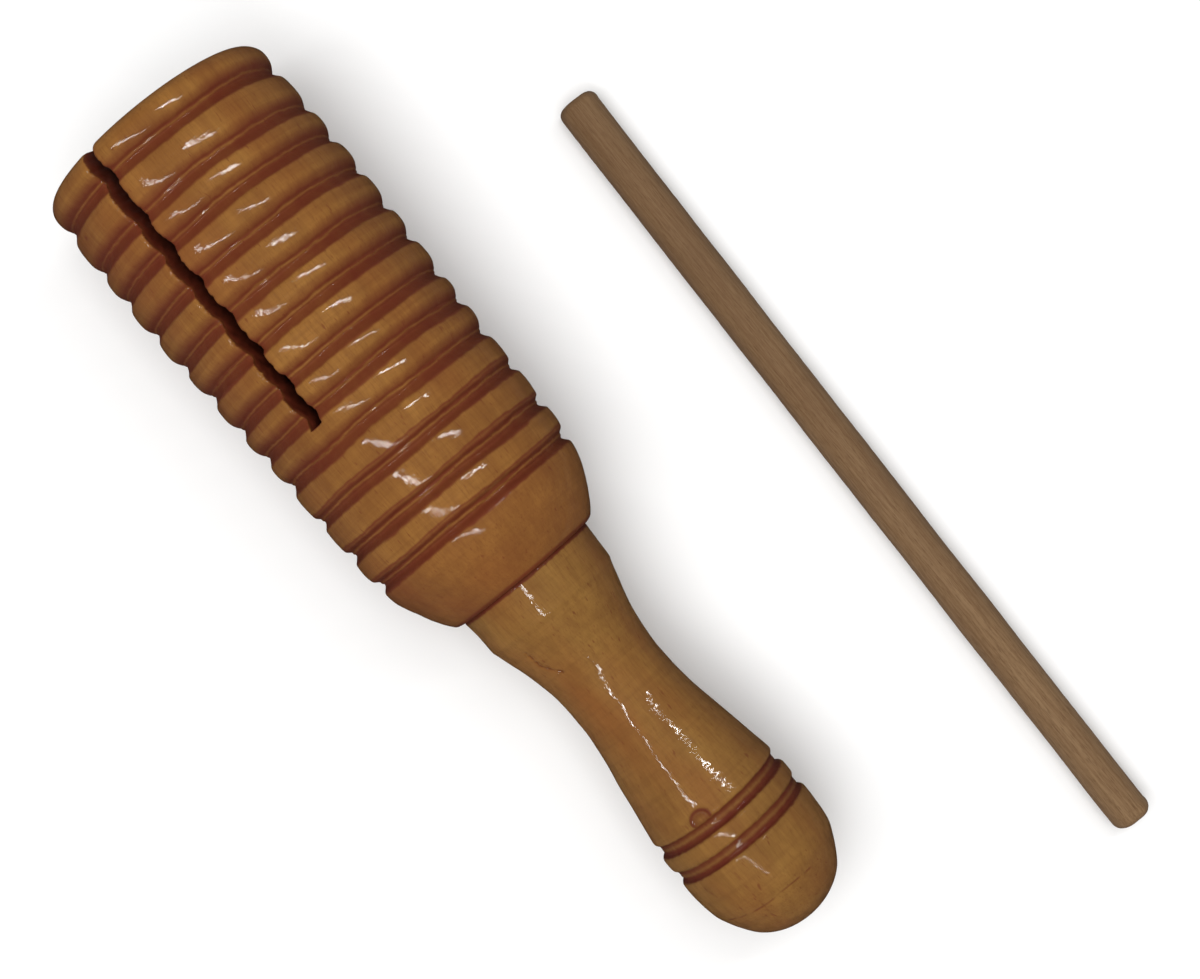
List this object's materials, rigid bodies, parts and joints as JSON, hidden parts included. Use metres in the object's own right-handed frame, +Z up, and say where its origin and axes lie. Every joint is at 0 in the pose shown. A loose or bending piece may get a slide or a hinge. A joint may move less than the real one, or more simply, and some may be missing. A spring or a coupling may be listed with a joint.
{
  "type": "guiro",
  "caption": "Turned hollow wooden guiro with a ribbed, slotted barrel, a glued turned handle and a loose dowel scraper lying beside it.",
  "frame": {"origin": "middle of the bounding box's base, on the table that the pieces lie on", "axes": "+X along the instrument's length from its open head towards the knob, +Y towards the scraper, +Z up from the table"},
  "size_m": [0.2326, 0.0988, 0.0528],
  "materials": {
    "barrel_wood": "gloss golden-brown lacquer with red-brown stain in the grooves",
    "handle_wood": "gloss golden-brown lacquer with red-brown stain in the grooves",
    "scraper_wood": "matte bare wood"
  },
  "bodies": {
    "guiro": {"barrel": "barrel_wood", "handle": "handle_wood"},
    "scraper": {"scraper": "scraper_wood"}
  },
  "joints": [
    {"name": "scraper_lift", "type": "slide", "parent": "guiro", "child": "scraper", "axis": [0, 0, 1], "range_m": [0, 0.12]}
  ]
}
